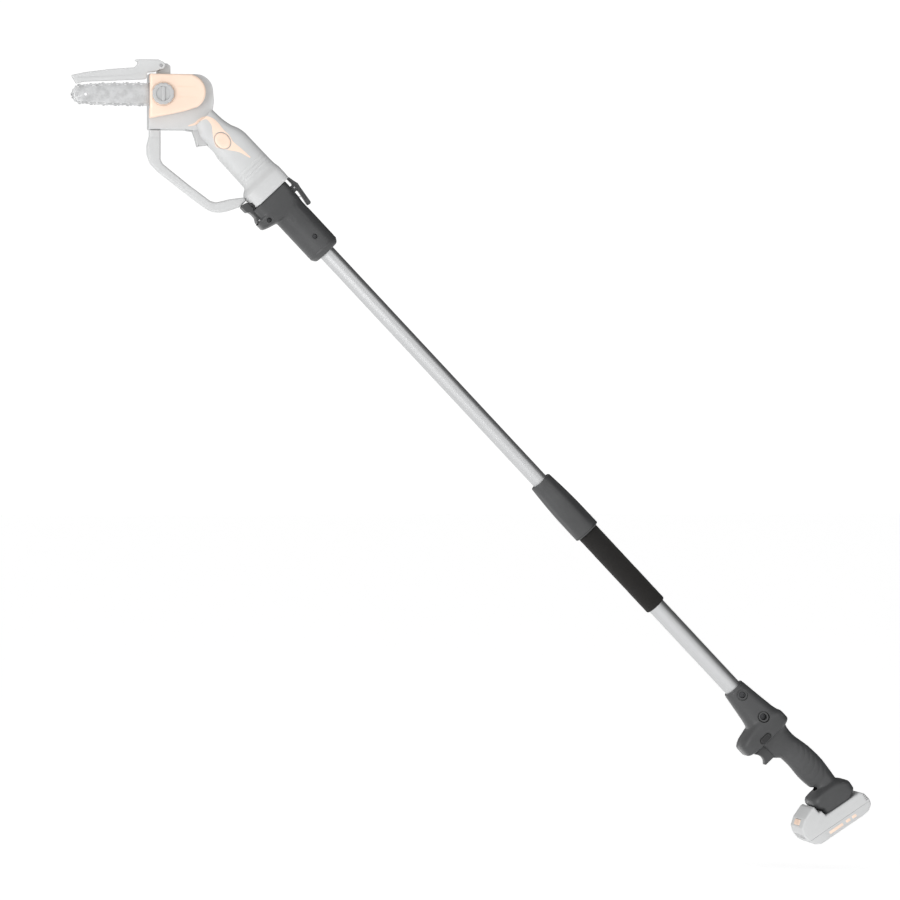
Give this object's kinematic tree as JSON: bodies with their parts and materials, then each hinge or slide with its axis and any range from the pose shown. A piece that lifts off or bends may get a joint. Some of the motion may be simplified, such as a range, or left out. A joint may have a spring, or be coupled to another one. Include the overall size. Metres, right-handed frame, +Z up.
{
  "type": "telescoping pole saw",
  "caption": "Cordless pruning saw on a two-stage pole: battery handle with trigger, foam grip, twist collar, docking adapter with latches, and a small chainsaw with hand loop and guard.",
  "frame": {"origin": "middle of the rear grip, on the pole's axis", "axes": "+Z up and +X horizontal from the saw towards the battery, with the pole leaning up towards -X at 46.5 degrees; +Y across the tool, from the chain cover's side to the other side"},
  "size_m": [1.2773, 0.076, 1.2364],
  "materials": {
    "charcoal_plastic": "fine moulded texture, slight sheen",
    "black_plastic": "smooth moulded",
    "black_foam": "closed-cell foam, fine open skin",
    "black_cable": "smooth extruded sheath",
    "anodised_tube": "satin anodised, drawn along its length",
    "screw_steel": "zinc plated",
    "motor_steel": "plated can",
    "gear_brass": "machined",
    "bar_steel": "ground faces, light brushed grain",
    "chain_steel": "plated links",
    "pale_grey_plastic": "fine moulded texture",
    "pale_peach_plastic": "fine moulded texture",
    "circuit_board": "solder mask",
    "cell_sleeve": "shrink sleeve"
  },
  "bodies": {
    "handle": {"handle_shell_left": "charcoal_plastic", "handle_shell_right": "charcoal_plastic", "neck_screw_1": "screw_steel", "neck_screw_2": "screw_steel", "shell_screw_1": "screw_steel", "shell_screw_2": "screw_steel", "shell_screw_3": "screw_steel", "rear_switch": "black_plastic", "rear_trigger_spring": "screw_steel", "foot_terminals": "gear_brass", "lower_tube": "anodised_tube", "foam_grip": "black_foam", "collet_ring": "black_plastic", "collar_base": "black_plastic", "power_cable": "black_cable"},
    "rear_trigger_body": {"rear_trigger": "charcoal_plastic"},
    "lock_off_body": {"lock_off_button": "black_plastic"},
    "collar": {"lock_collar": "charcoal_plastic"},
    "upper_pole": {"upper_tube": "anodised_tube", "guide_bush": "black_plastic", "adapter_shell_left": "charcoal_plastic", "adapter_shell_right": "charcoal_plastic", "adapter_screw_1": "screw_steel", "adapter_screw_2": "screw_steel", "dock_tongue": "charcoal_plastic", "top_latch_pin": "screw_steel", "top_latch_spring": "screw_steel", "hook_lever_pin": "screw_steel"},
    "latch": {"top_latch": "charcoal_plastic"},
    "hook": {"hook_lever": "charcoal_plastic"},
    "saw": {"saw_shell_left": "pale_grey_plastic", "saw_shell_right": "pale_grey_plastic", "loop_guard": "pale_grey_plastic", "saw_terminals": "gear_brass", "saw_switch": "black_plastic", "side_cover": "pale_peach_plastic", "bar_bolt": "screw_steel", "guide_bar": "bar_steel", "saw_chain": "chain_steel", "motor": "motor_steel", "motor_board": "circuit_board", "chain_guard_pin": "screw_steel"},
    "saw_trigger_body": {"saw_trigger": "pale_grey_plastic"},
    "saw_lock_body": {"saw_lock_off": "pale_peach_plastic"},
    "guard": {"chain_guard": "pale_grey_plastic"},
    "knob": {"tension_knob": "pale_grey_plastic"},
    "drive": {"drive_sprocket": "screw_steel", "sprocket_shaft": "screw_steel", "drive_gear": "gear_brass"},
    "pinion": {"motor_pinion": "screw_steel"},
    "battery": {"battery_case_upper": "pale_grey_plastic", "battery_case_lower": "pale_grey_plastic", "cell_1": "cell_sleeve", "cell_2": "cell_sleeve", "cell_3": "cell_sleeve", "cell_4": "cell_sleeve", "cell_5": "cell_sleeve", "battery_board": "circuit_board"},
    "battery_button_body": {"battery_button": "pale_peach_plastic"}
  },
  "joints": [
    {"name": "pole_slide", "type": "slide", "parent": "handle", "child": "upper_pole", "axis": [0.6884, 0, -0.7254], "range_m": [0, 0.36], "deforming": ["power_cable"]},
    {"name": "collar_twist", "type": "hinge", "parent": "handle", "child": "collar", "pos_m": [-0.37743, 0, 0.39772], "axis": [0.6884, 0, -0.7254], "range_deg": [0, 60]},
    {"name": "rear_trigger_squeeze", "type": "slide", "parent": "handle", "child": "rear_trigger_body", "axis": [0.7254, 0, 0.6884], "range_m": [0, 0.006], "stiffness_N_per_m": 900, "springref_m": -0.003, "deforming": ["rear_trigger_spring"]},
    {"name": "lock_off_press", "type": "slide", "parent": "handle", "child": "lock_off_body", "axis": [0, 1, 0], "range_m": [0, 0.004], "stiffness_N_per_m": 700, "springref_m": -0.002},
    {"name": "top_latch_tilt", "type": "hinge", "parent": "upper_pole", "child": "latch", "pos_m": [-0.80973, 0, 0.89832], "axis": [0, 1, 0], "range_deg": [0, 7.5], "stiffness_Nm_per_rad": 0.6, "springref_deg": -14.32, "deforming": ["top_latch_spring"]},
    {"name": "hook_lever_tilt", "type": "hinge", "parent": "upper_pole", "child": "hook", "pos_m": [-0.86564, 0, 0.84595], "axis": [0, -1, 0], "range_deg": [0, 10], "stiffness_Nm_per_rad": 0.8, "springref_deg": -14.32},
    {"name": "saw_slide", "type": "slide", "parent": "upper_pole", "child": "saw", "axis": [0.7254, 0, 0.6884], "range_m": [0, 0.055]},
    {"name": "saw_trigger_squeeze", "type": "slide", "parent": "saw", "child": "saw_trigger_body", "axis": [0.7254, 0, 0.6884], "range_m": [0, 0.005], "stiffness_N_per_m": 900, "springref_m": -0.003},
    {"name": "saw_lock_off_press", "type": "slide", "parent": "saw", "child": "saw_lock_body", "axis": [0, 1, 0], "range_m": [0, 0.003], "stiffness_N_per_m": 700, "springref_m": -0.002},
    {"name": "chain_guard_tilt", "type": "hinge", "parent": "saw", "child": "guard", "pos_m": [-1.0202, 0, 1.086], "axis": [0, 1, 0], "range_deg": [0, 55], "stiffness_Nm_per_rad": 0.15, "springref_deg": -34.38},
    {"name": "tension_knob_turn", "type": "hinge", "parent": "saw", "child": "knob", "pos_m": [-1.0182, -0.03, 1.041], "axis": [0, 1, 0], "continuous": true},
    {"name": "drive_spin", "type": "hinge", "parent": "saw", "child": "drive", "pos_m": [-0.9822, -0.005, 1.041], "axis": [0, 1, 0], "continuous": true},
    {"name": "pinion_spin", "type": "hinge", "parent": "saw", "child": "pinion", "pos_m": [-0.9662, 0.003, 1.041], "axis": [0, 1, 0], "continuous": true},
    {"name": "battery_slide", "type": "slide", "parent": "handle", "child": "battery", "axis": [-0.8387, 0, -0.5446], "range_m": [0, 0.055]},
    {"name": "battery_button_press", "type": "slide", "parent": "battery", "child": "battery_button_body", "axis": [0.9512, 0, -0.3087], "range_m": [0, 0.004], "stiffness_N_per_m": 700, "springref_m": -0.002}
  ],
  "couplings": [
    {"joint": "pinion_spin", "follows": "drive_spin", "ratio": -3}
  ]
}
